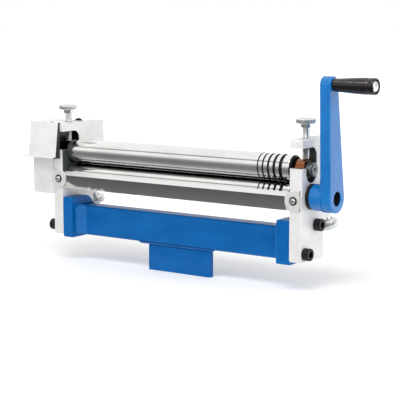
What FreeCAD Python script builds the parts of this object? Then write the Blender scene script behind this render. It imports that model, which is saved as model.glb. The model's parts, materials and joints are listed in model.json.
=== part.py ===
import FreeCAD, Part
import math
import os
from FreeCAD import Vector, Matrix

# Bench slip roll, millimetres. The sizes below are measured from the end plates:
# X runs along the rollers from the middle, towards the crank. Y runs backwards from the
# front faces of the plates. Z runs up from the feet of the plates. The written parts are
# moved at the end so that the origin is the middle of the vise tab's front face.

# Frame
forming_width = 305.0
plate_thickness = 14.0
plate_height = 128.0
plate_top_depth = 76.0
plate_foot_depth = 47.0
plate_edge_radius = 3.0
plate_chamfer = 1.2
beam_height = 35.0
beam_drop = 1.0
beam_depth = 20.0
beam_wall = 2.5
beam_corner_radius = 3.0
beam_front = 15.0
left_flange_thickness = 13.2
right_flange_thickness = 16.5
flange_height = 46.8
flange_depth = 40.0
flange_drop = 3.3
flange_edge_radius = 2.5
flange_back_radius = 14.0
weld_along_beam = 14.0
weld_up_flange = 8.0
weld_hollow = 0.8
tab_width = 84.0
tab_height = 32.0
tab_thickness = 6.0
tab_setback = 2.5
tab_corner_radius = 1.0
tab_bevel = 3.0
tab_weld_length = 104.0
tab_weld_shift = -4.0
tab_weld_radius = 2.4

# Rollers and what carries them
roller_diameter = 28.0
roller_gap = 0.3
roller_axis_y = 20.0
lower_axis_z = 67.7
journal_diameter = 15.0
journal_stub = 4.0
journal_chamfer = 1.2
centre_drill_radius = 2.2
centre_drill_depth = 4.0
rear_end_play = 0.5
bush_diameter = 20.0
bush_stand_in = 3.2
bush_recess = 3.2
bush_chamfer = 0.6
slot_clearance = 0.4
slot_depth_below_bush = 3.6
running_clearance = 0.05
end_clearance = 0.3
left_collar_length = 7.0
right_collar_length = 2.0
collar_diameter = 25.0
collar_chamfer = 0.5
barrel_chamfer = 0.8
groove_widths = (1.6, 2.0, 2.6, 3.2, 4.0)
groove_land = 4.6
groove_spread = 0.8
groove_first_from_end = 10.0

# Upper roller travel, and the open notch it leaves by
upper_travel = 12.5
notch_corner_radius = 9.0
notch_lip_radius = 2.0

# Rear roller: its slot leans back from the vertical
rear_slot_lean_deg = 25.0
rear_axis_back = 29.8
rear_axis_up = 5.4
rear_travel_up = 6.0
rear_travel_down = 12.0
rear_boss_wall = 9.5
rear_boss_gap = 10.5

# Thumb screws
thread_diameter = 8.0
thread_clearance = 0.15
knob_diameter = 21.5
knob_thickness = 5.6
knob_flutes = 32
knob_flute_depth = 0.6
knob_chamfer = 0.9
knob_collar_diameter = 12.0
knob_collar_length = 3.6
top_knob_standoff = 14.8
screw_tip_clearance = 0.2
screw_tip_chamfer = 1.0

# Gears
gear_teeth = 14
gear_module = 2.0
gear_face = 13.0
gear_pressure_angle_deg = 20.0
gear_root_clearance = 0.25
gear_tooth_thinning = 0.10
gear_spacing = 2.5
key_width = 5.0
key_height = 5.0
ring_thickness = 1.2
ring_groove_depth = 0.6
ring_rim = 2.2

# Gear cover
cover_sheet = 1.2
box_width = 31.5
box_front = 0.0
box_depth = 38.5
box_floor_z = 46.0
box_height = 42.0
hood_gap = 0.5
hood_front_top = 2.0
hood_front_flare = 5.5
hood_reach = 32.0
hood_overlap = 10.7
hood_lip = 4.0
hood_depth = 44.0
hood_screw_inset = 6.0
ear_size = 9.0
ear_back = 14.0
cover_screw_diameter = 4.0
cover_screw_head = 7.5
cover_screw_reach = 6.0
hood_screw_diameter = 5.0
hood_screw_reach = 8.0

# Front guard
guard_sheet = 1.5
guard_top_z = 69.0
guard_height = 15.0
guard_lean = 2.2
guard_front = 0.6
guard_lip_rise = 4.2
guard_lip_run = 5.0
guard_end_gap = 0.5
guard_ear_radius = 10.2
guard_ear_bottom_z = 54.0
guard_ear_rise = 1.4
guard_ear_edge = 2.5
guard_screw_inset = 5.0
guard_screw_z = 64.8
guard_screw_diameter = 5.0
guard_screw_reach = 9.0

# Fasteners
bolt_diameter = 8.0
bolt_head_diameter = 13.0
bolt_head_height = 8.0
bolt_reach = 12.0
bolt_front_y = 6.8
bolt_front_z = 9.3
bolt_back_y = 30.0
bolt_back_z = 37.3
socket_share = 0.5
button_head_share = 1.8
button_height_share = 0.32

# Crank
crank_throw = 117.0
crank_lean_deg = 4.9
hub_diameter = 28.0
hub_length = 14.4
hub_chamfer = 0.8
thrust_washer_diameter = 27.0
thrust_washer_thickness = 4.0
arm_thickness = 12.0
arm_root_radius = 15.0
arm_tip_radius = 8.8
arm_edge_radius = 1.2
shaft_recess = 7.0
crank_key_length = 12.0
set_screw_diameter = 6.0
set_screw_socket = 3.0
grip_length = 47.0
grip_small_diameter = 12.9
grip_large_diameter = 17.2
grip_swell_from_end = 8.0
grip_end_radius = 1.6
grip_recess_diameter = 13.4
grip_recess_depth = 2.6
grip_bolt_diameter = 8.0
grip_bolt_head_diameter = 12.0
grip_bolt_head_height = 3.0
dome_flat = 0.5

# Places worked out from the sizes above
inner = forming_width / 2
outer = inner + plate_thickness
plate_middle = inner + plate_thickness / 2
roller_radius = roller_diameter / 2
journal_radius = journal_diameter / 2
bush_radius = bush_diameter / 2
slot_half = bush_radius + slot_clearance
upper_axis_z = lower_axis_z + roller_diameter + roller_gap
notch_top_z = upper_axis_z + upper_travel + slot_half
notch_lip_z = upper_axis_z + upper_travel - slot_half
slot_round_z = upper_axis_z - slot_depth_below_bush
lean = math.radians(rear_slot_lean_deg)
rear_up = Vector(0, -math.sin(lean), math.cos(lean))
rear_axis = Vector(0, roller_axis_y + rear_axis_back, lower_axis_z + rear_axis_up)
rear_face_distance = bush_radius + rear_travel_down + rear_boss_wall
bush_inner = inner - bush_stand_in
bush_outer = outer - bush_recess
guard_screw_x = inner + guard_screw_inset
hood_screw_y = hood_depth - hood_screw_inset
origin = Vector(0, beam_front + tab_setback, -tab_height / 2)

os.makedirs("parts", exist_ok=True)


def write(node, shape):
    """Moves a finished piece into the frame of the part and writes it."""
    piece = shape.copy()
    piece.translate(-origin)
    piece.exportStep("parts/" + node + ".step")
    solids = len(piece.Solids)
    print("%-20s %2d solids %10.1f mm3 valid %s" % (node, solids, piece.Volume, piece.isValid()))


def mirrored(shape):
    """The same piece on the other side of the middle of the machine."""
    return shape.mirror(Vector(0, 0, 0), Vector(1, 0, 0))


def rounded_wire(corners):
    """Closed wire through 3-D corners, each given as (point, radius)."""
    edges = []
    starts = []
    ends = []
    count = len(corners)
    for i in range(count):
        point, radius = corners[i]
        before = corners[i - 1][0]
        after = corners[(i + 1) % count][0]
        into = (before - point).normalize()
        away = (after - point).normalize()
        if radius > 0:
            half = into.getAngle(away) / 2
            reach = radius / math.tan(half)
            start = point + into * reach
            end = point + away * reach
            bisector = (into + away).normalize()
            middle = point + bisector * (radius / math.sin(half) - radius)
            edges.append((i, Part.Arc(start, middle, end).toShape()))
        else:
            start = point
            end = point
        starts.append(start)
        ends.append(end)
    path = []
    arcs = dict(edges)
    for i in range(count):
        if i in arcs:
            path.append(arcs[i])
        following = starts[(i + 1) % count]
        if ends[i].distanceToPoint(following) > 1e-6:
            path.append(Part.LineSegment(ends[i], following).toShape())
    return Part.Wire(path)


def side_plate(x_low, x_high, corners):
    """Flat piece whose outline is (y, z, corner radius), as thick as x_low to x_high."""
    points = [(Vector(x_low, y, z), r) for y, z, r in corners]
    return Part.Face(rounded_wire(points)).extrude(Vector(x_high - x_low, 0, 0))


def rod(x_low, x_high, y, z, diameter):
    """Cylinder along X."""
    return Part.makeCylinder(diameter / 2, x_high - x_low, Vector(x_low, y, z), Vector(1, 0, 0))


def pointed(shape, base, direction):
    """Moves a piece drawn along X from the origin to base, along direction."""
    turn = FreeCAD.Rotation(Vector(1, 0, 0), direction)
    return shape.transformed(FreeCAD.Placement(base, turn).toMatrix())


def turned(profile, base, direction):
    """Solid of revolution from (distance along direction, radius) steps, from end to end.

    A step of four numbers is an arc: the point it passes through, then its end.
    """
    here = Vector(profile[0][0], 0, 0)
    first = here
    edges = []
    for step in list(profile) + [(profile[-1][-2], 0)]:
        there = Vector(step[-2], step[-1], 0)
        if len(step) == 4:
            edges.append(Part.Arc(here, Vector(step[0], step[1], 0), there).toShape())
        elif here.distanceToPoint(there) > 1e-6:
            edges.append(Part.LineSegment(here, there).toShape())
        here = there
    edges.append(Part.LineSegment(here, first).toShape())
    solid = Part.Face(Part.Wire(edges)).revolve(Vector(0, 0, 0), Vector(1, 0, 0), 360)
    return pointed(solid, base, direction)


def cut_all(shape, tools):
    """The shape less each tool."""
    for tool in tools:
        shape = shape.cut(tool)
    return shape


def edges_at(shape, x):
    """The edges that lie in the plane at x."""
    return [edge for edge in shape.Edges if abs(edge.CenterOfMass.x - x) < 1e-6]


# End plates
def slanted(distance, across):
    """Point on the rear slot's line: distance down it from the rear roller, and across it."""
    side = Vector(0, math.cos(lean), math.sin(lean))
    return rear_axis - rear_up * distance + side * across


def front_notch(x_low, x_high):
    """Open notch that leads back from the front edge and drops into the bush's slot."""
    y_near = roller_axis_y - slot_half
    y_far = roller_axis_y + slot_half
    beyond = -2.0
    notch = [
        (beyond, notch_lip_z, 0),
        (y_near, notch_lip_z, notch_lip_radius),
        (y_near, slot_round_z, 0),
        (y_far, slot_round_z, 0),
        (y_far, notch_top_z, notch_corner_radius),
        (beyond, notch_top_z, 0),
    ]
    opening = side_plate(x_low, x_high, notch)
    return opening.fuse(rod(x_low, x_high, roller_axis_y, slot_round_z, 2 * slot_half))


def rear_slot(x_low, x_high):
    """Closed sloping slot for the bush of the rear roller."""
    low = slanted(rear_travel_down, 0)
    high = slanted(-rear_travel_up, 0)
    side = Vector(0, math.cos(lean), math.sin(lean)) * slot_half
    corners = [low - side, low + side, high + side, high - side]
    middle = side_plate(x_low, x_high, [(c.y, c.z, 0) for c in corners])
    ends = [rod(x_low, x_high, p.y, p.z, 2 * slot_half) for p in (low, high)]
    return middle.fuse(ends)


def bolt_places():
    """Where the plate bolts go, as (y, z)."""
    return ((bolt_front_y, bolt_front_z), (bolt_back_y, bolt_back_z))


def end_plate():
    """Crank-side plate; the other one is its mirror image."""
    slope = math.tan(lean)
    through = slanted(rear_face_distance, 0)
    step_z = through.z - (through.y - plate_foot_depth) * slope
    heel_z = through.z + (plate_top_depth - through.y) * slope
    corners = [
        (0, 0, plate_edge_radius),
        (plate_foot_depth, 0, plate_edge_radius),
        (plate_foot_depth, step_z, plate_edge_radius),
        (plate_top_depth, heel_z, plate_edge_radius),
        (plate_top_depth, plate_height, plate_edge_radius),
        (0, plate_height, plate_edge_radius),
    ]
    plate = side_plate(inner, outer, corners)
    plate = plate.makeChamfer(plate_chamfer, edges_at(plate, outer))
    beyond = 1.0
    tools = [
        front_notch(inner - beyond, outer + beyond),
        rear_slot(inner - beyond, outer + beyond),
        rod(inner - beyond, outer + beyond, roller_axis_y, lower_axis_z, bush_diameter),
    ]
    screw_hole = thread_diameter / 2 + thread_clearance
    top_start = Vector(plate_middle, roller_axis_y, notch_top_z - beyond)
    top_length = plate_height - notch_top_z + 2 * beyond
    tools.append(Part.makeCylinder(screw_hole, top_length, top_start))
    rear_start = slanted(rear_face_distance + 6 * beyond, 0) + Vector(plate_middle, 0, 0)
    rear_length = rear_face_distance - rear_travel_down
    tools.append(Part.makeCylinder(screw_hole, rear_length, rear_start, rear_up))
    for y, z in bolt_places():
        tools.append(rod(inner - beyond, outer + beyond, y, z, bolt_diameter))
    guard_hole = Vector(guard_screw_x, -guard_sheet, guard_screw_z)
    tools.append(Part.makeCylinder(guard_screw_diameter / 2, guard_screw_reach, guard_hole,
                                   Vector(0, 1, 0)))
    return cut_all(plate, tools)


right_plate = end_plate()
left_plate = mirrored(end_plate())


# Base: beam, flanges, welds and vise tab
def tube_outline(x, y, z, depth, height, radius):
    """Rounded rectangle in the plane at x."""
    corners = [(y, z), (y + depth, z), (y + depth, z + height), (y, z + height)]
    return rounded_wire([(Vector(x, a, b), radius) for a, b in corners])


beam_left = -(inner - left_flange_thickness)
beam_right = inner - right_flange_thickness
beam_run = Vector(beam_right - beam_left, 0, 0)
beam_skin = tube_outline(beam_left, beam_front, -beam_drop, beam_depth, beam_height, beam_corner_radius)
beam_bore = tube_outline(beam_left, beam_front + beam_wall, beam_wall - beam_drop,
                         beam_depth - 2 * beam_wall, beam_height - 2 * beam_wall,
                         max(beam_corner_radius - beam_wall, beam_wall / 8))
solid_beam = Part.Face(beam_skin).extrude(beam_run)
base_beam = solid_beam.cut(Part.Face(beam_bore).extrude(beam_run))


def flange(thickness):
    """Upright block at the crank end of the beam, tapped for the plate bolts."""
    top = flange_height - flange_drop
    corners = [
        (0, -flange_drop, flange_edge_radius),
        (flange_depth, -flange_drop, flange_edge_radius),
        (flange_depth, top, flange_back_radius),
        (0, top, flange_edge_radius),
    ]
    block = side_plate(inner - thickness, inner, corners)
    block = block.makeFillet(flange_edge_radius / 2, edges_at(block, inner - thickness))
    for y, z in bolt_places():
        block = block.cut(rod(inner - bolt_reach, inner + 1, y, z, bolt_diameter))
    return block


def flange_weld(flange_x, towards_middle, beam_y, out):
    """Bead up the corner of beam and flange, as high as the beam, filled in behind its edges."""
    low_z = -beam_drop
    behind = beam_y - out * beam_corner_radius
    on_flange = Vector(flange_x, beam_y + out * weld_up_flange, low_z)
    on_beam = Vector(flange_x + towards_middle * weld_along_beam, beam_y, low_z)
    hollow = Vector(-towards_middle, -out, 0).normalize() * weld_hollow
    middle = (on_flange + on_beam) * 0.5 + hollow
    under_beam = Vector(on_beam.x, behind, low_z)
    under_flange = Vector(flange_x, behind, low_z)
    edges = [
        Part.Arc(on_flange, middle, on_beam).toShape(),
        Part.LineSegment(on_beam, under_beam).toShape(),
        Part.LineSegment(under_beam, under_flange).toShape(),
        Part.LineSegment(under_flange, on_flange).toShape(),
    ]
    bead = Part.Face(Part.Wire(edges)).extrude(Vector(0, 0, beam_height))
    return bead.cut(solid_beam)


flange_welds = []
for flange_x, towards_middle in ((beam_left, 1), (beam_right, -1)):
    for beam_y, out in ((beam_front, -1), (beam_front + beam_depth, 1)):
        flange_welds.append(flange_weld(flange_x, towards_middle, beam_y, out))

tab_front = beam_front + tab_setback
tab_top = -beam_drop
tab_corners = [
    (Vector(-tab_width / 2, tab_front, -tab_height), tab_corner_radius),
    (Vector(tab_width / 2, tab_front, -tab_height), tab_corner_radius),
    (Vector(tab_width / 2, tab_front, tab_top), 0),
    (Vector(-tab_width / 2, tab_front, tab_top), 0),
]
square_tab = Part.Face(rounded_wire(tab_corners)).extrude(Vector(0, tab_thickness, 0))
weld_edge = [e for e in square_tab.Edges
             if e.CenterOfMass.distanceToPoint(Vector(0, tab_front, tab_top)) < 1e-6]
vise_tab = square_tab.makeChamfer(tab_bevel, weld_edge)

# The tab's weld fills the bevel and stands out as a round bead under the beam
weld_start = Vector(tab_weld_shift - tab_weld_length / 2, tab_front, tab_top)
bead = Part.makeCylinder(tab_weld_radius, tab_weld_length, weld_start, Vector(1, 0, 0))
under = Part.makeBox(tab_weld_length, tab_weld_radius + tab_bevel, tab_weld_radius,
                     weld_start - Vector(0, tab_weld_radius, tab_weld_radius))
tab_weld = bead.common(under).fuse(square_tab.cut(vise_tab)).cut(vise_tab).removeSplitter()


# Screws and bolts
def hexagon_socket(across, depth, base, direction):
    """Hexagonal recess to cut from a screw head."""
    corner = across / math.sqrt(3)
    points = []
    for i in range(7):
        angle = math.radians(60 * i)
        points.append(Vector(0, corner * math.cos(angle), corner * math.sin(angle)))
    prism = Part.Face(Part.makePolygon(points)).extrude(Vector(depth, 0, 0))
    return pointed(prism, base, direction)


def cap_screw(seat, direction, diameter, head_diameter, head_height, reach):
    """Socket-head screw: seat is under the head, direction points from head to tip."""
    chamfer = head_height * 0.1
    profile = [
        (-head_height, head_diameter / 2 - chamfer),
        (-head_height + chamfer, head_diameter / 2),
        (0, head_diameter / 2),
        (0, diameter / 2),
        (reach, diameter / 2),
    ]
    body = turned(profile, seat, direction)
    top = seat - direction * (head_height + 0.01)
    across = head_diameter * socket_share
    return body.cut(hexagon_socket(across, head_height * 0.55, top, direction))


def button_screw(seat, direction, diameter, head_diameter, reach):
    """Low domed screw with a hexagonal recess."""
    height = head_diameter * button_height_share
    radius = head_diameter / 2
    round_radius = (radius ** 2 + height ** 2) / (2 * height)
    half = math.asin(radius / round_radius) / 2
    shoulder = round_radius * math.sin(half)
    rise = height - round_radius * (1 - math.cos(half))
    profile = [(-height, 0), (-rise, shoulder, 0, radius), (0, diameter / 2), (reach, diameter / 2)]
    body = turned(profile, seat, direction)
    top = seat - direction * (height + 0.01)
    return body.cut(hexagon_socket(diameter * socket_share, height * 0.6, top, direction))


plate_bolts = []
for side in (-1, 1):
    for y, z in bolt_places():
        seat = Vector(side * outer, y, z)
        screw = cap_screw(seat, Vector(-side, 0, 0), bolt_diameter, bolt_head_diameter,
                          bolt_head_height, plate_thickness + bolt_reach - 1)
        plate_bolts.append(screw)


# Front guard: lip, leaning face and a flat ear on each plate
def guard_strip():
    """Folded strip between the plates, with its lip turned back over the lower roller."""
    half = inner - guard_end_gap
    y_top = -guard_front
    y_low = y_top + guard_lean
    z_low = guard_top_z - guard_height
    outline = [
        (y_low, z_low, 0),
        (y_low + guard_sheet, z_low, 0),
        (y_top + guard_sheet, guard_top_z - 0.8, 0),
        (y_top + guard_lip_run, guard_top_z + guard_lip_rise - guard_sheet, 0),
        (y_top + guard_lip_run, guard_top_z + guard_lip_rise, 0),
        (y_top, guard_top_z, 1.0),
    ]
    return side_plate(-half, half, outline)


def guard_ear():
    """Flat end that lies on the crank-side plate; its inner end is round about the screw."""
    edge = outer - guard_ear_edge
    low = guard_ear_bottom_z
    high = guard_ear_bottom_z + 2 * guard_ear_radius
    corners = [
        (Vector(guard_screw_x, -guard_sheet, low), 0),
        (Vector(edge, -guard_sheet, low), guard_sheet),
        (Vector(edge, -guard_sheet, high + guard_ear_rise), guard_sheet),
        (Vector(guard_screw_x, -guard_sheet, high), 0),
    ]
    plate = Part.Face(rounded_wire(corners)).extrude(Vector(0, guard_sheet, 0))
    centre = Vector(guard_screw_x, -guard_sheet, low + guard_ear_radius)
    disc = Part.makeCylinder(guard_ear_radius, guard_sheet, centre, Vector(0, 1, 0))
    hole = Vector(guard_screw_x, -2 * guard_sheet, guard_screw_z)
    ear = plate.fuse(disc).removeSplitter()
    return ear.cut(Part.makeCylinder(guard_screw_diameter / 2, 4 * guard_sheet, hole, Vector(0, 1, 0)))


front_guard = guard_strip().fuse([guard_ear(), mirrored(guard_ear())]).removeSplitter()
plates = left_plate.fuse(right_plate)
front_guard = front_guard.cut(plates)
guard_screws = []
for side in (-1, 1):
    seat = Vector(side * guard_screw_x, -guard_sheet, guard_screw_z)
    guard_screws.append(button_screw(seat, Vector(0, 1, 0), guard_screw_diameter,
                                     guard_screw_diameter * button_head_share, guard_screw_reach))


# Gears: involute flanks as arcs through three points of the curve
def gear(x_low, centre_y, centre_z, tooth_first, keyway_up):
    """Spur gear; with tooth_first a tooth points along +Z, otherwise a gap points along -Z."""
    pitch = gear_module * gear_teeth / 2
    pressure = math.radians(gear_pressure_angle_deg)
    base = pitch * math.cos(pressure)
    tip = pitch + gear_module
    root = pitch - gear_module * (1 + gear_root_clearance)
    tooth_angle = math.pi / gear_teeth - gear_tooth_thinning / pitch
    at_pitch = math.tan(pressure) - pressure
    half_at_base = tooth_angle / 2 + at_pitch

    def flank(radius, side, centre):
        roll = math.sqrt(max((radius / base) ** 2 - 1, 0))
        angle = half_at_base - (roll - math.atan(roll))
        turn = centre - side * angle
        return Vector(x_low, centre_y + radius * math.cos(turn), centre_z + radius * math.sin(turn))

    def at(radius, angle):
        return Vector(x_low, centre_y + radius * math.cos(angle), centre_z + radius * math.sin(angle))

    step = 2 * math.pi / gear_teeth
    first = math.pi / 2 if tooth_first else -math.pi / 2 + step / 2
    middle_radius = (base + tip) / 2
    edges = []
    for i in range(gear_teeth):
        centre = first + i * step
        rise = [flank(r, 1, centre) for r in (base, middle_radius, tip)]
        fall = [flank(r, -1, centre) for r in (tip, middle_radius, base)]
        foot_in = at(root, centre - half_at_base)
        foot_out = at(root, centre + half_at_base)
        next_foot = at(root, centre + step - half_at_base)
        edges.append(Part.LineSegment(foot_in, rise[0]).toShape())
        edges.append(Part.Arc(rise[0], rise[1], rise[2]).toShape())
        edges.append(Part.Arc(rise[2], at(tip, centre), fall[0]).toShape())
        edges.append(Part.Arc(fall[0], fall[1], fall[2]).toShape())
        edges.append(Part.LineSegment(fall[2], foot_out).toShape())
        edges.append(Part.Arc(foot_out, at(root, centre + step / 2), next_foot).toShape())
    blank = Part.Face(Part.Wire(edges)).extrude(Vector(gear_face, 0, 0))
    blank = blank.cut(rod(x_low - 1, x_low + gear_face + 1, centre_y, centre_z, journal_diameter))
    return blank.cut(key(x_low - 1, gear_face + 2, centre_y, centre_z, keyway_up))


def key(x_low, key_length, centre_y, centre_z, up):
    """Parallel key half sunk in the journal, above or below its axis."""
    reach = journal_radius if up else -journal_radius
    corner = Vector(x_low, centre_y - key_width / 2, centre_z + reach - key_height / 2)
    return Part.makeBox(key_length, key_width, key_height, corner)


gear_high_x = -(outer + gear_spacing)
gear_low_x = gear_high_x - gear_face
ring_high_x = gear_low_x
ring_low_x = ring_high_x - ring_thickness
shaft_left_x = ring_low_x - 2.0


def retaining_ring(centre_y, centre_z):
    """Open ring in the groove behind the gear."""
    inside = journal_diameter - 2 * ring_groove_depth
    outside = journal_diameter + 2 * ring_rim
    ring = rod(ring_low_x, ring_high_x, centre_y, centre_z, outside)
    ring = ring.cut(rod(ring_low_x - 1, ring_high_x + 1, centre_y, centre_z, inside))
    mouth = Part.makeBox(ring_thickness + 2, inside * 0.7, outside,
                         Vector(ring_low_x - 1, centre_y - inside * 0.35, centre_z))
    return ring.cut(mouth)


# Rollers
barrel_right = bush_inner - end_clearance - right_collar_length
barrel_left = -(inner - end_clearance - left_collar_length)


def wire_grooves(profile_end):
    """Half-round grooves near the crank end as (centre, radius), from the narrowest to the widest."""
    places = []
    centre = profile_end - groove_first_from_end
    for width in reversed(groove_widths):
        places.append((centre, width / 2))
        centre -= groove_land + width * groove_spread
    return places[::-1]


def roller(left_x, right_x, barrel_from, barrel_to, centre_y, centre_z):
    """Ground roller turned in one piece with its journals, and drilled for the lathe centre."""
    chamfer = journal_chamfer
    profile = [
        (left_x, journal_radius - chamfer),
        (left_x + chamfer, journal_radius),
        (barrel_from, journal_radius),
        (barrel_from, roller_radius - barrel_chamfer),
        (barrel_from + barrel_chamfer, roller_radius),
    ]
    for centre, radius in wire_grooves(barrel_to):
        profile.append((centre - radius, roller_radius))
        profile.append((centre, roller_radius - radius, centre + radius, roller_radius))
    profile += [
        (barrel_to - barrel_chamfer, roller_radius),
        (barrel_to, roller_radius - barrel_chamfer),
        (barrel_to, journal_radius),
        (right_x - chamfer, journal_radius),
        (right_x, journal_radius - chamfer),
        (right_x, centre_drill_radius),
        (right_x - centre_drill_depth, 0),
    ]
    start = Vector(0, centre_y, centre_z)
    return turned(profile, start, Vector(1, 0, 0))


def geared_journal(shape, centre_y, centre_z, keyway_up):
    """Cuts the gear's keyway and the retaining ring's groove in the left journal."""
    shape = shape.cut(key(gear_low_x, gear_face, centre_y, centre_z, keyway_up))
    inside = journal_diameter - 2 * ring_groove_depth
    groove = rod(ring_low_x, ring_high_x, centre_y, centre_z, journal_diameter + 1)
    groove = groove.cut(rod(ring_low_x - 1, ring_high_x + 1, centre_y, centre_z, inside))
    return shape.cut(groove)


upper_end = outer + journal_stub
upper_roller = roller(shaft_left_x, upper_end, barrel_left, barrel_right,
                      roller_axis_y, upper_axis_z)
upper_roller = geared_journal(upper_roller, roller_axis_y, upper_axis_z, True)

washer_in = outer + end_clearance
hub_in = washer_in + thrust_washer_thickness
arm_in = hub_in + hub_length
arm_out = arm_in + arm_thickness
lower_end = arm_out - shaft_recess
lower_roller = roller(shaft_left_x, lower_end, barrel_left, barrel_right,
                      roller_axis_y, lower_axis_z)
lower_roller = geared_journal(lower_roller, roller_axis_y, lower_axis_z, False)

rear_end = outer - end_clearance
rear_barrel = bush_inner - rear_end_play
rear_roller = roller(-rear_end, rear_end, -rear_barrel, rear_barrel, rear_axis.y, rear_axis.z)


def collar(x_low, x_high, centre_z):
    """Black spacer between the barrel of a front roller and its bush."""
    length = x_high - x_low
    profile = [
        (0, collar_diameter / 2 - collar_chamfer),
        (collar_chamfer, collar_diameter / 2),
        (length - collar_chamfer, collar_diameter / 2),
        (length, collar_diameter / 2 - collar_chamfer),
    ]
    body = turned(profile, Vector(x_low, roller_axis_y, centre_z), Vector(1, 0, 0))
    return body.cut(rod(x_low - 1, x_high + 1, roller_axis_y, centre_z, journal_diameter))


def left_collar(centre_z):
    """The long spacer at the geared end."""
    return collar(barrel_left - left_collar_length, barrel_left, centre_z)


def right_collar(centre_z):
    """The short spacer at the crank end."""
    return collar(barrel_right, barrel_right + right_collar_length, centre_z)


def bush(x_low, x_high, centre_y, centre_z):
    """Bronze bush in the crank-side plate."""
    length = x_high - x_low
    radius = bush_diameter / 2
    profile = [
        (0, radius - bush_chamfer),
        (bush_chamfer, radius),
        (length - bush_chamfer, radius),
        (length, radius - bush_chamfer),
    ]
    body = turned(profile, Vector(x_low, centre_y, centre_z), Vector(1, 0, 0))
    bore = journal_diameter + 2 * running_clearance
    return body.cut(rod(x_low - 1, x_high + 1, centre_y, centre_z, bore))


rear_bush = bush(bush_inner, bush_outer, rear_axis.y, rear_axis.z)


# Thumb screws
def thumb_screw(tip, direction, stem_length):
    """Knurled screw: tip is its pressing end, direction points from tip to knob."""
    radius = thread_diameter / 2
    collar_from = stem_length
    knob_from = collar_from + knob_collar_length
    knob_to = knob_from + knob_thickness
    knob_radius = knob_diameter / 2
    stem = [
        (0, radius - screw_tip_chamfer),
        (screw_tip_chamfer, radius),
        (collar_from, radius),
        (collar_from, knob_collar_diameter / 2),
        (knob_from + 0.01, knob_collar_diameter / 2),
    ]
    knob = [
        (knob_from, knob_radius - knob_chamfer),
        (knob_from + knob_chamfer, knob_radius),
        (knob_to - knob_chamfer, knob_radius),
        (knob_to, knob_radius - knob_chamfer),
    ]
    body = turned(stem, Vector(0, 0, 0), Vector(1, 0, 0))
    points = []
    for i in range(2 * knob_flutes + 1):
        angle = math.pi * i / knob_flutes
        reach = knob_radius if i % 2 == 0 else knob_radius - knob_flute_depth
        points.append(Vector(knob_from, reach * math.cos(angle), reach * math.sin(angle)))
    fluted = Part.Face(Part.makePolygon(points)).extrude(Vector(knob_thickness, 0, 0))
    knob = fluted.common(turned(knob, Vector(0, 0, 0), Vector(1, 0, 0)))
    return pointed(body.fuse(knob), tip, direction)


top_tip = Vector(plate_middle, roller_axis_y, upper_axis_z + bush_radius + screw_tip_clearance)
top_stem = plate_height + top_knob_standoff - knob_collar_length - top_tip.z
top_screw = thumb_screw(top_tip, Vector(0, 0, 1), top_stem)
rear_tip = rear_axis - rear_up * (bush_radius + screw_tip_clearance) + Vector(plate_middle, 0, 0)
rear_stem = rear_face_distance + rear_boss_gap - bush_radius - screw_tip_clearance - knob_collar_length
rear_screw = thumb_screw(rear_tip, -rear_up, rear_stem)


# Gear cover: lower box on the plate, upper hood held by the top of the plate
def gear_box():
    """Sheet box round the lower gear, open at the top and towards the plate."""
    low = Vector(-outer - box_width, box_front, box_floor_z)
    skin = Part.makeBox(box_width, box_depth, box_height, low)
    upright = [e for e in skin.Edges if abs(e.CenterOfMass.x - low.x) < 1e-6]
    standing = [e for e in upright if abs(e.tangentAt(e.FirstParameter).z) > 0.9]
    skin = skin.makeFillet(cover_sheet * 1.5, standing)
    wall = Vector(cover_sheet, cover_sheet, cover_sheet)
    hollow = Part.makeBox(box_width, box_depth - 2 * cover_sheet, box_height, low + wall)
    shell = skin.cut(hollow)
    for ear in box_ears():
        plate = Part.makeBox(cover_sheet, ear_size, ear_size,
                             Vector(-outer - cover_sheet, ear.y - ear_size / 2, ear.z - ear_size / 2))
        hole = rod(-outer - 2 * cover_sheet, -outer + 1, ear.y, ear.z, cover_screw_diameter)
        shell = shell.fuse(plate).cut(hole)
    return shell.removeSplitter()


def box_ears():
    """Middles of the two fixing ears on the plate."""
    under = Vector(-outer, box_front + ear_back, box_floor_z - ear_size / 2)
    behind = Vector(-outer, box_front + box_depth + ear_size / 2 - 1e-3, box_floor_z + ear_size / 2)
    return (under, behind)


cover_box = gear_box()
box_screws = []
for ear in box_ears():
    seat = ear - Vector(cover_sheet, 0, 0)
    box_screws.append(button_screw(seat, Vector(1, 0, 0), cover_screw_diameter, cover_screw_head,
                                   cover_screw_reach))
    left_plate = left_plate.cut(rod(-outer - 1, -outer + cover_screw_reach, ear.y, ear.z,
                                    cover_screw_diameter))


def hood_loft(inset, top_inset, bottom_extra):
    """Tapered block of the hood, drawn in by the thickness of its sheet where asked."""
    left = -outer - hood_reach + inset
    right = -outer + hood_overlap - inset
    back = hood_depth - inset
    top_z = plate_height + cover_sheet - top_inset
    low_z = box_floor_z + box_height + hood_gap - bottom_extra
    share = (top_z - low_z) / (plate_height + cover_sheet - (box_floor_z + box_height + hood_gap))
    top_y = -hood_front_top + inset
    low_y = -hood_front_top - hood_front_flare * share + inset
    wires = []
    for front, z in ((top_y, top_z), (low_y, low_z)):
        corners = [Vector(left, front, z), Vector(right, front, z),
                   Vector(right, back, z), Vector(left, back, z)]
        wires.append(Part.makePolygon(corners + corners[:1]))
    return Part.makeLoft(wires, True, True)


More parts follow.
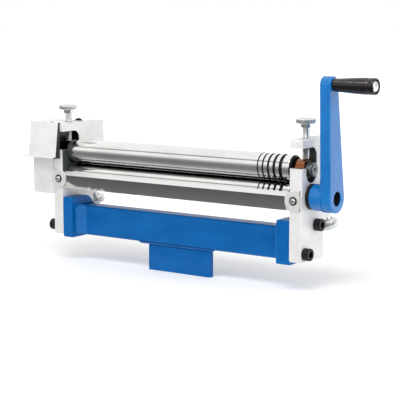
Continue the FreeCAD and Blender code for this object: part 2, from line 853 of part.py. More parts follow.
def gear_hood():
    """Sheet hood over the upper gear, clamped on top of the plate, open below."""
    hood = hood_loft(0, 0, 0).cut(hood_loft(cover_sheet, cover_sheet, hood_lip))
    low_z = box_floor_z + box_height + hood_gap
    plate_space = Vector(-outer - end_clearance, -end_clearance, box_floor_z)
    hood = hood.cut(Part.makeBox(hood_overlap + hood_lip, 2 * hood_depth, plate_height - box_floor_z,
                                 plate_space))
    front_y = -hood_front_top - hood_front_flare
    lip_front = Part.makeBox(hood_reach + hood_overlap + hood_lip, hood_lip, cover_sheet,
                             Vector(-outer - hood_reach - hood_lip, front_y - hood_lip, low_z))
    lip_side = Part.makeBox(hood_lip, hood_depth - front_y, cover_sheet,
                            Vector(-outer - hood_reach - hood_lip, front_y, low_z))
    hood = hood.fuse([lip_front, lip_side]).removeSplitter()
    for y, diameter in ((roller_axis_y, thread_diameter + 6 * thread_clearance),
                        (hood_screw_y, hood_screw_diameter)):
        start = Vector(-plate_middle, y, plate_height - 1)
        hood = hood.cut(Part.makeCylinder(diameter / 2, cover_sheet + 2, start))
    return hood


hood = gear_hood()
hood_seat = Vector(-plate_middle, hood_screw_y, plate_height + cover_sheet)
hood_screw = button_screw(hood_seat, Vector(0, 0, -1), hood_screw_diameter,
                          hood_screw_diameter * button_head_share, hood_screw_reach)
hood_hole = Vector(-plate_middle, hood_screw_y, plate_height - hood_screw_reach)
left_plate = left_plate.cut(Part.makeCylinder(hood_screw_diameter / 2, hood_screw_reach + 1, hood_hole))


# Crank: drawn upright about the lower roller's axis, then leaned forwards
hub_base = Vector(0, roller_axis_y, lower_axis_z)
crank_turn = Matrix()
crank_turn.move(-hub_base)
crank_turn.rotateX(math.radians(crank_lean_deg))
crank_turn.move(hub_base)


def leaned(shape):
    """Turns a piece of the crank from upright to where it stands."""
    return shape.transformed(crank_turn)


def crank_bar():
    """Flat bar that tapers from the hub end to the handle end, with round ends."""
    low = hub_base + Vector(arm_in, 0, 0)
    high = low + Vector(0, 0, crank_throw)
    tilt = math.asin((arm_root_radius - arm_tip_radius) / crank_throw)

    def on(centre, radius, angle):
        return centre + Vector(0, radius * math.cos(angle), radius * math.sin(angle))

    edges = [
        Part.LineSegment(on(low, arm_root_radius, tilt), on(high, arm_tip_radius, tilt)).toShape(),
        Part.Arc(on(high, arm_tip_radius, tilt), on(high, arm_tip_radius, math.pi / 2),
                 on(high, arm_tip_radius, math.pi - tilt)).toShape(),
        Part.LineSegment(on(high, arm_tip_radius, math.pi - tilt),
                         on(low, arm_root_radius, math.pi - tilt)).toShape(),
        Part.Arc(on(low, arm_root_radius, math.pi - tilt), on(low, arm_root_radius, -math.pi / 2),
                 on(low, arm_root_radius, tilt)).toShape(),
    ]
    bar = Part.Face(Part.Wire(edges)).extrude(Vector(arm_thickness, 0, 0))
    bar = bar.makeFillet(arm_edge_radius, [e for e in bar.Edges if abs(e.tangentAt(e.FirstParameter).x) < 0.5])
    bar = bar.cut(rod(arm_in - 1, arm_out + 1, roller_axis_y, lower_axis_z, journal_diameter))
    bolt_z = lower_axis_z + crank_throw
    return bar.cut(rod(arm_in - 1, arm_out + 1, roller_axis_y, bolt_z, grip_bolt_diameter))


def crank_hub():
    """Round boss between the thrust washer and the arm, keyed to the lower roller."""
    profile = [
        (0, hub_diameter / 2 - hub_chamfer),
        (hub_chamfer, hub_diameter / 2),
        (hub_length, hub_diameter / 2),
    ]
    body = turned(profile, hub_base + Vector(hub_in, 0, 0), Vector(1, 0, 0))
    body = body.cut(rod(hub_in - 1, arm_in + 1, roller_axis_y, lower_axis_z, journal_diameter))
    body = body.cut(key(hub_in - 1, hub_length + 2, roller_axis_y, lower_axis_z, True))
    hole = hub_base + Vector(hub_in + hub_length / 2, 0, 0)
    return body.cut(Part.makeCylinder(set_screw_diameter / 2, hub_diameter, hole, Vector(0, 1, 0)))


crank_arm = leaned(crank_bar())
hub = crank_hub()
crank_key = key(hub_in, crank_key_length, roller_axis_y, lower_axis_z, True)
lower_roller = lower_roller.cut(crank_key)
set_screw_length = hub_diameter / 2 - journal_radius - 0.5
set_screw = turned([(0, set_screw_diameter / 2), (set_screw_length, set_screw_diameter / 2)],
                   hub_base + Vector(hub_in + hub_length / 2, journal_radius, 0), Vector(0, 1, 0))
set_screw_top = hub_base + Vector(hub_in + hub_length / 2, journal_radius + set_screw_length + 0.01, 0)
set_screw = set_screw.common(rod(hub_in, arm_in, roller_axis_y, lower_axis_z, hub_diameter))
set_screw = set_screw.cut(hexagon_socket(set_screw_socket, set_screw_socket, set_screw_top, Vector(0, -1, 0)))
set_screw = set_screw.cut(rod(hub_in, arm_in, roller_axis_y, lower_axis_z, journal_diameter))

washer = rod(washer_in, hub_in, roller_axis_y, lower_axis_z, thrust_washer_diameter)
washer = washer.cut(rod(washer_in - 1, hub_in + 1, roller_axis_y, lower_axis_z, journal_diameter))

# Grip: slender at the arm, fullest near its end, with a recess for the bolt's head
grip_base = hub_base + Vector(arm_out + end_clearance, 0, crank_throw)
grip_small = grip_small_diameter / 2
grip_large = grip_large_diameter / 2
rim = grip_length - grip_end_radius
swell_end = grip_length - grip_swell_from_end
grip_profile = [
    (0, grip_small - arm_edge_radius),
    (arm_edge_radius, grip_small),
    (swell_end * 0.35, grip_small + (grip_large - grip_small) * 0.45),
    (swell_end * 0.7, grip_small + (grip_large - grip_small) * 0.86),
    (swell_end, grip_large),
    (rim, grip_large),
    (rim + grip_end_radius * math.sin(math.pi / 4), grip_large - grip_end_radius * (1 - math.cos(math.pi / 4)),
     grip_length, grip_large - grip_end_radius),
]
grip = turned(grip_profile, grip_base, Vector(1, 0, 0))
grip_bore = grip_bolt_diameter + 2 * running_clearance
grip = grip.cut(rod(arm_out, arm_out + grip_length + 2, grip_base.y, grip_base.z, grip_bore))
recess_from = grip_base.x + grip_length - grip_recess_depth
grip = grip.cut(rod(recess_from, recess_from + 2 * grip_recess_depth, grip_base.y, grip_base.z,
                    grip_recess_diameter))
grip = leaned(grip)

bolt_start = arm_out - arm_thickness + arm_edge_radius
head_from = recess_from + end_clearance - bolt_start
head_radius = grip_bolt_head_diameter / 2
head_edge = head_from + grip_bolt_head_height * 0.4
head_top = head_from + grip_bolt_head_height
grip_bolt_profile = [
    (0, grip_bolt_diameter / 2),
    (head_from, grip_bolt_diameter / 2),
    (head_from, head_radius),
    (head_edge, head_radius),
    (head_edge + grip_bolt_head_height * 0.44, head_radius * 0.55, head_top, dome_flat),
]
grip_bolt = turned(grip_bolt_profile, hub_base + Vector(bolt_start, 0, crank_throw), Vector(1, 0, 0))
grip_bolt = leaned(grip_bolt)

# Everything that is written, by node
frame_pieces = {
    "left_end_plate": left_plate,
    "right_end_plate": right_plate,
    "base_beam": base_beam,
    "left_flange": mirrored(flange(left_flange_thickness)),
    "right_flange": flange(right_flange_thickness),
    "flange_welds": Part.makeCompound(flange_welds),
    "vise_tab": vise_tab,
    "tab_weld": tab_weld,
    "plate_bolts": Part.makeCompound(plate_bolts),
    "front_guard": front_guard,
    "guard_screws": Part.makeCompound(guard_screws),
    "gear_box": cover_box,
    "gear_box_screws": Part.makeCompound(box_screws),
    "gear_hood": hood,
    "hood_screw": hood_screw,
    "lower_left_bush": mirrored(bush(inner, outer, roller_axis_y, lower_axis_z)),
    "lower_right_bush": bush(bush_inner, outer, roller_axis_y, lower_axis_z),
}
crank_pieces = {
    "lower_roller": lower_roller,
    "lower_gear": gear(gear_low_x, roller_axis_y, lower_axis_z, True, False),
    "lower_gear_key": key(gear_low_x, gear_face, roller_axis_y, lower_axis_z, False),
    "lower_gear_ring": retaining_ring(roller_axis_y, lower_axis_z),
    "lower_collar": left_collar(lower_axis_z),
    "lower_right_collar": right_collar(lower_axis_z),
    "thrust_washer": washer,
    "crank_hub": hub,
    "crank_arm": crank_arm,
    "crank_key": crank_key,
    "crank_set_screw": set_screw,
    "handle_bolt": grip_bolt,
    "handle_grip": grip,
}
upper_pieces = {
    "upper_roller": upper_roller,
    "upper_gear": gear(gear_low_x, roller_axis_y, upper_axis_z, False, True),
    "upper_gear_key": key(gear_low_x, gear_face, roller_axis_y, upper_axis_z, True),
    "upper_gear_ring": retaining_ring(roller_axis_y, upper_axis_z),
    "upper_collar": left_collar(upper_axis_z),
    "upper_right_collar": right_collar(upper_axis_z),
    "upper_left_bush": mirrored(bush(inner, outer, roller_axis_y, upper_axis_z)),
    "upper_right_bush": bush(bush_inner, bush_outer, roller_axis_y, upper_axis_z),
    "top_left_screw": mirrored(top_screw),
    "top_right_screw": top_screw,
}
rear_pieces = {
    "rear_roller": rear_roller,
    "rear_left_bush": mirrored(rear_bush),
    "rear_right_bush": rear_bush,
    "rear_left_screw": mirrored(rear_screw),
    "rear_right_screw": rear_screw,
}
for group in (frame_pieces, crank_pieces, upper_pieces, rear_pieces):
    for node, shape in group.items():
        write(node, shape)

print("upper axis", upper_axis_z, "notch", notch_lip_z, notch_top_z)
print("rear axis", rear_axis, "crank", arm_in, arm_out)
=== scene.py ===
import json
import math

import bmesh
import bpy
import numpy as np
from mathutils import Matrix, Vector


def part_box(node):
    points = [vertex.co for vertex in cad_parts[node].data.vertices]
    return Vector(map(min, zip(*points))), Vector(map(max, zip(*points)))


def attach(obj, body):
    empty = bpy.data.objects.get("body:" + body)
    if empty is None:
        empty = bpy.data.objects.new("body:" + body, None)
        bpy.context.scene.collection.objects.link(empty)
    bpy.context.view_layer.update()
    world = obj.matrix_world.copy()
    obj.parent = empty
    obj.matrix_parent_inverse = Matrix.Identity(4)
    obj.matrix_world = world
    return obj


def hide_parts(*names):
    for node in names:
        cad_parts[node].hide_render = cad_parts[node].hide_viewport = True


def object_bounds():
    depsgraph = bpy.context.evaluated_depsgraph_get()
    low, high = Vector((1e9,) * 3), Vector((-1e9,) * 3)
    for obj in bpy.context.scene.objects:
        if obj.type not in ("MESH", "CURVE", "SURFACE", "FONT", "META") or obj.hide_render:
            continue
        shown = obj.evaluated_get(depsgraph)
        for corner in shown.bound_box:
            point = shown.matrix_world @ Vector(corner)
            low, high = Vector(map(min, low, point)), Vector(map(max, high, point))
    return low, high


# Bench slip roll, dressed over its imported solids. Sizes are in millimetres and MM turns them
# to metres; +X runs along the rollers to the crank, +Y to the back, +Z up.

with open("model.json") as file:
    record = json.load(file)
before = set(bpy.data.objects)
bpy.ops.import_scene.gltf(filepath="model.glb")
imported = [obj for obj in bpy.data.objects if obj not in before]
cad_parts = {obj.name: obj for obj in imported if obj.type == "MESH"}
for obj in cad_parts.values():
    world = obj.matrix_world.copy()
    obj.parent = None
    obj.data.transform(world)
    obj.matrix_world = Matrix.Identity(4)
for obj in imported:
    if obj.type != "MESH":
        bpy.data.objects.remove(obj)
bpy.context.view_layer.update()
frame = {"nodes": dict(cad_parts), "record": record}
nodes = frame["nodes"]

MM = 0.001
RIGHT = np.array([1.0, 0.0, 0.0])
BACK = np.array([0.0, 1.0, 0.0])
UP = np.array([0.0, 0.0, 1.0])

# Faces of the end plates, the y of both front rollers' axes and the height of the lower one
plate_inner = 152.5
plate_outer = 166.5
plate_middle = (plate_inner + plate_outer) / 2
front_axis_y = 2.5
crank_axis_z = 83.7
sides = ((-1, "left"), (1, "right"))


# Materials
def linear(hex_colour):
    """sRGB hex such as "2180cd" to the linear RGBA that a shader socket takes."""
    channels = [int(hex_colour[i:i + 2], 16) / 255 for i in (0, 2, 4)]
    values = [c / 12.92 if c <= 0.04045 else ((c + 0.055) / 1.055) ** 2.4 for c in channels]
    return (*values, 1.0)


def add(tree, kind, sockets=(), **settings):
    """Adds one node. Each socket takes a plain value, a hex colour or another node's output."""
    made = tree.nodes.new(kind)
    for key, value in settings.items():
        setattr(made, key, value)
    for key, value in dict(sockets).items():
        if isinstance(value, bpy.types.NodeSocket):
            tree.links.new(value, made.inputs[key])
        else:
            made.inputs[key].default_value = linear(value) if isinstance(value, str) else value
    return made


def new_finish(name, sockets):
    """Starts a finish with one Principled shader. Also gives the surface's place in millimetres."""
    material = bpy.data.materials.new(name)
    material.use_nodes = True
    tree = material.node_tree
    tree.nodes.clear()
    shader = add(tree, "ShaderNodeBsdfPrincipled", sockets)
    add(tree, "ShaderNodeOutputMaterial", {"Surface": shader.outputs[0]})
    metres = add(tree, "ShaderNodeTexCoord").outputs["Object"]
    place = add(tree, "ShaderNodeVectorMath", {0: metres, "Scale": 1 / MM}, operation="SCALE")
    return material, tree, place.outputs[0]


def patches(tree, place, size, stretch=(1, 1, 1), detail=3.0, rough=0.55):
    """Cloudy pattern from 0 to 1 whose blotches are about size millimetres, longer where stretched."""
    scale = tuple(1 / (size * s) for s in stretch)
    moved = add(tree, "ShaderNodeMapping", {"Vector": place, "Scale": scale}).outputs[0]
    noise = add(tree, "ShaderNodeTexNoise", {"Vector": moved, "Scale": 1.0, "Detail": detail,
                                             "Roughness": rough})
    return noise.outputs[0]


def within(tree, place, centre, half):
    """1 inside the box with this centre and these half sizes in millimetres, 0 outside."""
    away = add(tree, "ShaderNodeVectorMath", {0: place, 1: centre}, operation="SUBTRACT").outputs[0]
    away = add(tree, "ShaderNodeVectorMath", {0: away}, operation="ABSOLUTE").outputs[0]
    left = add(tree, "ShaderNodeVectorMath", {0: half, 1: away}, operation="SUBTRACT").outputs[0]
    parts = add(tree, "ShaderNodeSeparateXYZ", {0: left}).outputs
    least = add(tree, "ShaderNodeMath", {0: parts[0], 1: parts[1]}, operation="MINIMUM").outputs[0]
    least = add(tree, "ShaderNodeMath", {0: least, 1: parts[2]}, operation="MINIMUM").outputs[0]
    return add(tree, "ShaderNodeMath", {0: least, 1: 0.0}, operation="GREATER_THAN").outputs[0]


def layered(tree, colour, *layers):
    """Colour with layers over it. A layer is its colour, a pattern, the pattern's value where the
    layer begins and where it is fullest, and the share that it covers there. With a colour and a
    pattern alone it covers what the pattern says."""
    for over, pattern, *ramp in layers:
        if ramp:
            begin, full, cover = ramp
            pattern = add(tree, "ShaderNodeMapRange", {0: pattern, 1: begin, 2: full, 4: cover}).outputs[0]
        colour = add(tree, "ShaderNodeMix", {0: pattern, 6: colour, 7: over}, data_type="RGBA").outputs[2]
    return colour


def finished(material, colour, rough=None, height=None, depth=0.0, spread=(0.3, 0.7)):
    """Links the patterns to the finish and gives it back. rough is a pattern and the roughness at
    the two ends of its spread; height is a pattern that raises the surface by up to depth mm."""
    tree = material.node_tree
    inputs = tree.nodes["Principled BSDF"].inputs
    tree.links.new(colour, inputs["Base Color"])
    if rough is not None:
        pattern, least, most = rough
        ramp = add(tree, "ShaderNodeMapRange", {0: pattern, 1: spread[0], 2: spread[1], 3: least, 4: most})
        tree.links.new(ramp.outputs[0], inputs["Roughness"])
    if height is not None:
        bump = add(tree, "ShaderNodeBump", {"Height": height, "Strength": 1.0, "Distance": depth * MM})
        tree.links.new(bump.outputs[0], inputs["Normal"])
    return material


def zinc_plate():
    """Zinc-plated steel plate, sawn and milled: a pale, even grey with faint upright mill lines.
    Painted shade darkens the walls inside the notches and slots, most at the left end, and the
    inner faces beside the rollers, and a painted shadow lies on the plate behind the hood's edge."""
    material, tree, place = new_finish("zinc_plated_plate", {"Metallic": 0.15, "Roughness": 0.45})
    cloud = patches(tree, place, 14.0)
    mill_lines = patches(tree, place, 0.5, (1, 1, 40))
    x, y, z = add(tree, "ShaderNodeSeparateXYZ", {0: place}).outputs
    either_end = add(tree, "ShaderNodeMath", {0: x}, operation="ABSOLUTE").outputs[0]
    folded = add(tree, "ShaderNodeCombineXYZ", {0: either_end, 1: y, 2: z}).outputs[0]
    half = (plate_outer - plate_inner) / 2 - 0.6
    # Painted shade: the walls inside the notches and slots dark, black at the left end
    notch = within(tree, folded, (plate_middle, 3.6, 115.0), (half, 20.5, 20.5))
    slot = within(tree, folded, (plate_middle, 34.0, 86.0), (half, 20.0, 28.0))
    shaded_walls = add(tree, "ShaderNodeMath", {0: notch, 1: slot}, operation="MAXIMUM").outputs[0]
    wall_shade_colour = layered(tree, "101010", ("464c49", x, -1.0, 1.0, 1.0))
    # Painted shade on the inner faces beside the rollers, and a painted shadow behind the hood's edge
    shade_beside_rollers = within(tree, folded, (plate_inner, 0.0, 100.2), (0.3, 17.4, 14.0))
    shadow_behind_hood = within(tree, place, (-161.6, -17.5, 124.5), (5.2, 0.5, 21.0))
    colour = layered(tree, "e9e9e7", ("f2f2f1", cloud, 0.35, 0.65, 1.0),
                     ("d2d3d2", mill_lines, 0.3, 0.7, 0.25), (wall_shade_colour, shaded_walls),
                     ("465250", shade_beside_rollers), ("1c1c1c", shadow_behind_hood))
    return finished(material, colour, (mill_lines, 0.38, 0.52), mill_lines, 0.004)


def blue_paint(name, thick, thin, coat, coat_index, sheen_streaks=0.0, bore=None):
    """Powder coat on steel: a mid blue with a glossy skin, slight orange peel about a millimetre
    across and a little tone drift where the coat is thicker. It can have faint upright streaking
    of the thin coat's colour, a painted sheen, and a bore, given as a box, painted black as shade."""
    material, tree, place = new_finish(name, {
        "Metallic": 0.0, "Roughness": 0.36, "IOR": 1.5, "Specular IOR Level": 0.2,
        "Specular Tint": "9cc4ee", "Coat Weight": coat, "Coat Roughness": 0.16, "Coat IOR": coat_index})
    drift = patches(tree, place, 24.0, (2.2, 1, 1), 4.0)
    peel = patches(tree, place, 1.3, detail=1.0)
    layers = [(thin, drift, 0.35, 0.68, 1.0)]
    # Painted sheen: faint light upright streaking
    if sheen_streaks > 0:
        layers.append((thin, patches(tree, place, 2.2, (1, 1, 14), 2.0), 0.35, 0.65, sheen_streaks))
    # Painted shade: the bore inside the box black
    if bore is not None:
        layers.append(("0b0e14", within(tree, place, *bore)))
    return finished(material, layered(tree, thick, *layers), (drift, 0.3, 0.42), peel, 0.03)


def ground_steel():
    """Ground and lightly oiled steel: near-mirror along the roller, with fine rings left by the
    grinding wheel, drawn 0.4 mm apart so that they show, and painted shade in the nip, near black
    where another part stands within 12 mm."""
    material, tree, place = new_finish("ground_steel", {"Metallic": 1.0, "Roughness": 0.14})
    rings = patches(tree, place, 0.4, (1, 60, 60))
    stain = patches(tree, place, 22.0, (2, 1, 1))
    # Painted shade: near black in the nip, where the occlusion finds another part close
    ao_for_painted_shade = add(tree, "ShaderNodeAmbientOcclusion", {"Distance": 12 * MM}, samples=8).outputs["AO"]
    colour = layered(tree, "f4f3f1", ("e9e7e5", stain, 0.4, 0.7, 1.0), ("1b1a19", ao_for_painted_shade, 0.66, 0.4, 1.0))
    return finished(material, colour, (rings, 0.09, 0.18), rings, 0.002)


def turned_steel():
    """End faces, journals and collars as the lathe left them: darker than the ground barrel, with
    rings 0.5 mm apart and old oil."""
    material, tree, place = new_finish("turned_oily_steel", {"Metallic": 0.85, "Roughness": 0.36})
    oil = patches(tree, place, 3.0)
    marks = patches(tree, place, 0.5, (1, 20, 20))
    return finished(material, layered(tree, "8b8f8b", ("666a68", oil)), (marks, 0.26, 0.44), marks, 0.004)


def groove_steel():
    """Turned groove, painted dark as shade in the groove: dull and near black."""
    material, tree, place = new_finish("shaded_groove", {"Metallic": 0.8, "Roughness": 0.4})
    # Painted shade: near black
    return finished(material, layered(tree, "3a3937", ("141312", patches(tree, place, 1.5))))


def gear_steel():
    """Hobbed steel with a film of grease: grey, satin, darker in cloudy patches."""
    material, tree, place = new_finish("greased_gear_steel", {"Metallic": 0.9, "Roughness": 0.35})
    film = patches(tree, place, 4.0)
    return finished(material, layered(tree, "8f8d88", ("5e5b55", film)), (film, 0.2, 0.45))


def black_oxide():
    """Blackened alloy steel: near black with a dull sheen and a faint fine grain."""
    material, tree, place = new_finish("black_oxide_steel", {
        "Metallic": 0.0, "Roughness": 0.42, "Specular IOR Level": 0.3})
    grain = patches(tree, place, 0.7)
    return finished(material, layered(tree, "08090a", ("141518", grain)), (grain, 0.3, 0.48), grain, 0.004)


def bright_zinc():
    """Bright zinc on small turned parts: silvery, a little cloudy."""
    material, tree, place = new_finish("bright_zinc_plate", {"Metallic": 1.0, "Roughness": 0.24})
    cloud = patches(tree, place, 3.0)
    return finished(material, layered(tree, "e8e9e8", ("ced0d0", cloud)), (cloud, 0.16, 0.34))


def chrome():
    """Chromium-plated bolt head: bright, clear reflections, with the odd fine scratch."""
    material, tree, place = new_finish("chromium_plate", {"Metallic": 1.0, "Roughness": 0.07})
    scratch = patches(tree, place, 0.6, (1, 1, 9))
    colour = layered(tree, "dfe0e2", ("cccdd0", scratch))
    return finished(material, colour, (scratch, 0.05, 0.16), spread=(0.4, 0.75))


def cover_sheet():
    """Zinc-plated sheet, folded: pale, nearly white, with faint rub marks from handling, and a dark
    strip along the hood's right edge, a painted shadow gap."""
    material, tree, place = new_finish("zinc_plated_sheet", {"Metallic": 0.25, "Roughness": 0.45})
    cloud = patches(tree, place, 16.0)
    rub = patches(tree, place, 1.2, (1, 14, 3))
    # Painted shadow: the strip along the hood's right edge
    shadow_gap_edge = within(tree, place, (-156.2, -24.0, 124.8), (0.6, 6.9, 20.6))
    colour = layered(tree, "ececea", ("f5f5f3", cloud, 0.35, 0.65, 1.0), ("d0d1d0", rub, 0.55, 0.8, 0.3),
                     ("2b2b2a", shadow_gap_edge))
    return finished(material, colour, (cloud, 0.34, 0.5), rub, 0.004)


def guard_steel():
    """Cold-rolled sheet with a faint grain, its colours mostly painted light: the long face dull and
    painted dark as a reflection of dim surroundings, paler towards its lower edge, with a painted
    bright reflection in ragged patches at the left end, and the ears and the lip painted pale as lit
    faces. The bright reflection's upper edge falls along x, rises again at the very end, and is ragged."""
    material, tree, place = new_finish("cold_rolled_guard_sheet", {"Metallic": 0.3, "Roughness": 0.4})
    grain = patches(tree, place, 0.6, (30, 1, 1))
    ragged = patches(tree, place, 4.5, (1.6, 1, 1), 7.0, 0.75)
    x, _, z = add(tree, "ShaderNodeSeparateXYZ", {0: place}).outputs
    fall = add(tree, "ShaderNodeMapRange", {0: x, 1: -150.0, 2: -72.0, 3: 75.4, 4: 69.6}).outputs[0]
    rise = add(tree, "ShaderNodeMapRange", {0: x, 1: -152.0, 2: -137.0, 3: 4.6, 4: 0.0}).outputs[0]
    edge = add(tree, "ShaderNodeMath", {0: fall, 1: rise}, operation="ADD").outputs[0]
    edge = add(tree, "ShaderNodeMath", {0: ragged, 1: 15.0, 2: edge}, operation="MULTIPLY_ADD").outputs[0]
    above = add(tree, "ShaderNodeMath", {0: z, 1: edge}, operation="SUBTRACT").outputs[0]
    # Painted reflection: a bright ragged patch at the left end of the long face
    painted_reflection = layered(tree, "d0d0ce", ("e6e6e4", ragged, 0.4, 0.6, 1.0))
    # The long face painted dark as a reflection, paler lower down as painted light, with grain
    skin = layered(tree, "585858", ("747372", z, 85.0, 70.0, 1.0), ("6a6968", grain, 0.3, 0.7, 0.4),
                   (painted_reflection, above, -7.2, -9.2, 1.0))
    # Inside this box the long face; the ears and the lip outside it are painted pale as lit faces
    face = within(tree, place, (0.0, -17.0, 77.2), (147.2, 3.0, 7.9))
    # Painted shade on the ear's outer side face
    ear_edge_shade = within(tree, place, (165.1, -18.2, 81.0), (0.14, 1.0, 10.9))
    colour = layered(tree, "e6e6e4", (skin, face), ("40403e", ear_edge_shade))
    return finished(material, colour, (grain, 0.32, 0.46), grain, 0.003)


def bronze():
    """Oiled sintered bronze: brown-gold with fine dark pores about 0.8 mm apart, painted black as shade
    on its end faces, where it meets the collar, and all over at the left end."""
    material, tree, place = new_finish("sintered_bronze", {"Metallic": 1.0, "Roughness": 0.2})
    pores = patches(tree, place, 0.8, detail=4.0)
    metal = layered(tree, "a5704c", ("7d4c2e", pores, 0.4, 0.62, 1.0))
    # Painted shade: black everywhere but the middle of the right bush
    unshaded = within(tree, place, (157.7, 20.0, 100.0), (5.2, 60.0, 60.0))
    return finished(material, layered(tree, "12100e", (metal, unshaded)), (pores, 0.14, 0.28), pores, 0.01)


def phenolic():
    """Moulded black phenolic: deep gloss with very slight waves from the mould, and a brownish painted
    highlight along one mould line, broken into patches."""
    material, tree, place = new_finish("moulded_phenolic", {
        "Metallic": 0.0, "Roughness": 0.12, "IOR": 1.6})
    wave = patches(tree, place, 6.0, (2, 1, 1), 1.0)
    # Painted highlight: a brownish line along one mould line
    line = within(tree, place, (219.0, -14.0, 204.1), (20.0, 3.0, 0.35))
    highlight_patches = patches(tree, place, 5.0)
    highlight_strength = add(tree, "ShaderNodeMapRange", {0: highlight_patches, 1: 0.38, 2: 0.6, 3: 0.15}).outputs[0]
    highlight_line = add(tree, "ShaderNodeMath", {0: line, 1: highlight_strength}, operation="MULTIPLY").outputs[0]
    colour = layered(tree, "050505", ("0c0b0c", wave), ("9a8578", highlight_line))
    return finished(material, colour, None, wave, 0.02)


finishes = {
    "zinc_plate": zinc_plate(),
    "blue_paint": blue_paint("blue_powder_coat", "005da5", "0c6ab4", 0.12, 1.5),
    "ground_steel": ground_steel(),
    "gear_steel": gear_steel(),
    "black_steel": black_oxide(),
    "bright_screw": bright_zinc(),
    "cover_sheet": cover_sheet(),
    "guard_sheet": guard_steel(),
    "bronze": bronze(),
    "grip_plastic": phenolic(),
}
groove_finish = groove_steel()
turned_finish = turned_steel()
chrome_finish = chrome()
# Painted shade: the box round the crank's bore, where the paint is black
crank_bore_shade = ((190.0, front_axis_y, crank_axis_z), (6.0, 7.6, 7.6))
# Lighter copies of the blue paint with light upright streaks: painted light on the crank, painted highlights
# on the welds
lit_crank_paint = blue_paint("blue_powder_coat_crank_lit", "0064b0", "0e78c4", 0.8, 1.55, 0.8, crank_bore_shade)
lit_weld_paint = blue_paint("blue_powder_coat_weld_lit", "0a62ac", "2878c0", 0.4, 1.5, 0.4)
own_finish = {"lower_collar": turned_finish, "upper_collar": turned_finish, "crank_arm": lit_crank_paint,
              "crank_hub": lit_crank_paint}
for part in frame["record"]["subparts"]:
    mesh = nodes[part["node"]].data
    mesh.materials.clear()
    mesh.materials.append(own_finish.get(part["node"], finishes[part["material_slot"]]))


# Making pieces
def extent(node):
    """Lowest and highest corners of a CAD node, in millimetres."""
    low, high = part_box(node)
    return np.array(low) / MM, np.array(high) / MM


def settle(name, mesh, body, finish, stands_for, sharp_above):
    """Closes the mesh's seams, turns its faces outwards and rides it on its body."""
    tidy = bmesh.new()
    tidy.from_mesh(mesh)
    bmesh.ops.remove_doubles(tidy, verts=tidy.verts, dist=0.002 * MM)
    bmesh.ops.recalc_face_normals(tidy, faces=tidy.faces)
    tidy.to_mesh(mesh)
    tidy.free()
    mesh.polygons.foreach_set("use_smooth", np.ones(len(mesh.polygons), dtype=bool))
    mesh.set_sharp_from_angle(angle=math.radians(sharp_above))
    for one in (finish if isinstance(finish, tuple) else (finish,)):
        mesh.materials.append(one)
    piece = bpy.data.objects.new(name, mesh)
    bpy.context.scene.collection.objects.link(piece)
    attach(piece, body)
    if stands_for:
        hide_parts(*stands_for)
    return piece


def skinned(name, points, body, slot, stands_for=(), finish=None, row_finish=None, sharp_above=38):
    """Piece whose skin joins each row of points to the next, every row being a closed ring. When
    there are several finishes, row_finish says which one each band between two rows takes."""
    rows, columns = points.shape[:2]
    i = np.arange(rows - 1)[:, None]
    j = np.arange(columns)[None, :]
    a = i * columns + j
    b = i * columns + (j + 1) % columns
    quads = np.stack([a, b, b + columns, a + columns], axis=-1).reshape(-1, 4)
    mesh = bpy.data.meshes.new(name)
    mesh.from_pydata((points.reshape(-1, 3) * MM).tolist(), [], quads.tolist())
    if row_finish is not None:
        mesh.polygons.foreach_set("material_index", np.repeat(row_finish, columns))
    return settle(name, mesh, body, finish or finishes[slot], stands_for, sharp_above)


def eased(corners, ease, steps=4):
    """Profile with eased corners: near a corner C it follows (1-t)^2 A + 2t(1-t) C + t^2 B, where A
    and B lie on the two sides of C, at most ease away from it and never past half a side."""
    corners = np.array(corners, float)
    here, before, after = corners[1:-1], corners[:-2], corners[2:]
    into, away = before - here, after - here
    into_length = np.linalg.norm(into, axis=1, keepdims=True)
    away_length = np.linalg.norm(away, axis=1, keepdims=True)
    start = here + into / into_length * np.minimum(ease, into_length / 2)
    end = here + away / away_length * np.minimum(ease, away_length / 2)
    t = np.linspace(0, 1, steps + 1)[None, :, None]
    curves = (1 - t) ** 2 * start[:, None] + 2 * t * (1 - t) * here[:, None] + t ** 2 * end[:, None]
    return np.vstack([corners[:1], curves.reshape(-1, 2), corners[-1:]])


def turned(stations, radii, base, along, columns=96):
    """Rings of a turned piece: base + along * station + radius * (u cos t + v sin t), where u and v
    are square to along and t runs once round. A radius may also vary with t."""
    along = np.array(along, float) / np.linalg.norm(along)
    u = np.cross(along, BACK if abs(along[1]) < 0.6 else RIGHT)
    u /= np.linalg.norm(u)
    v = np.cross(along, u)
    t = np.linspace(0, 2 * math.pi, columns, endpoint=False)
    ring = np.cos(t)[:, None] * u + np.sin(t)[:, None] * v
    radii = np.broadcast_to(np.asarray(radii, float).reshape(len(stations), -1), (len(stations), columns))
    stations = np.asarray(stations, float)[:, None, None]
    return np.array(base, float) + stations * along + radii[:, :, None] * ring


def closed_profile(profile):
    """Splits a profile into stations and radii, with a point on the axis added at each end."""
    first, last = profile[0].copy(), profile[-1].copy()
    first[1] = last[1] = 0
    whole = np.vstack([first, profile, last])
    return whole[:, 0], whole[:, 1]


# Rollers
roller_radius = 14.0
journal_radius = 7.5
journal_chamfer = 1.2
centre_drill_radius = 2.2
centre_drill_depth = 4.0
front_barrel = (-145.2, 147.0)
rear_barrel = (-148.8, 148.8)
# Each wire groove's middle along x, and its width
grooves = ((109.16, 1.6), (115.36, 2.0), (122.04, 2.6), (129.2, 3.2), (137.0, 4.0))


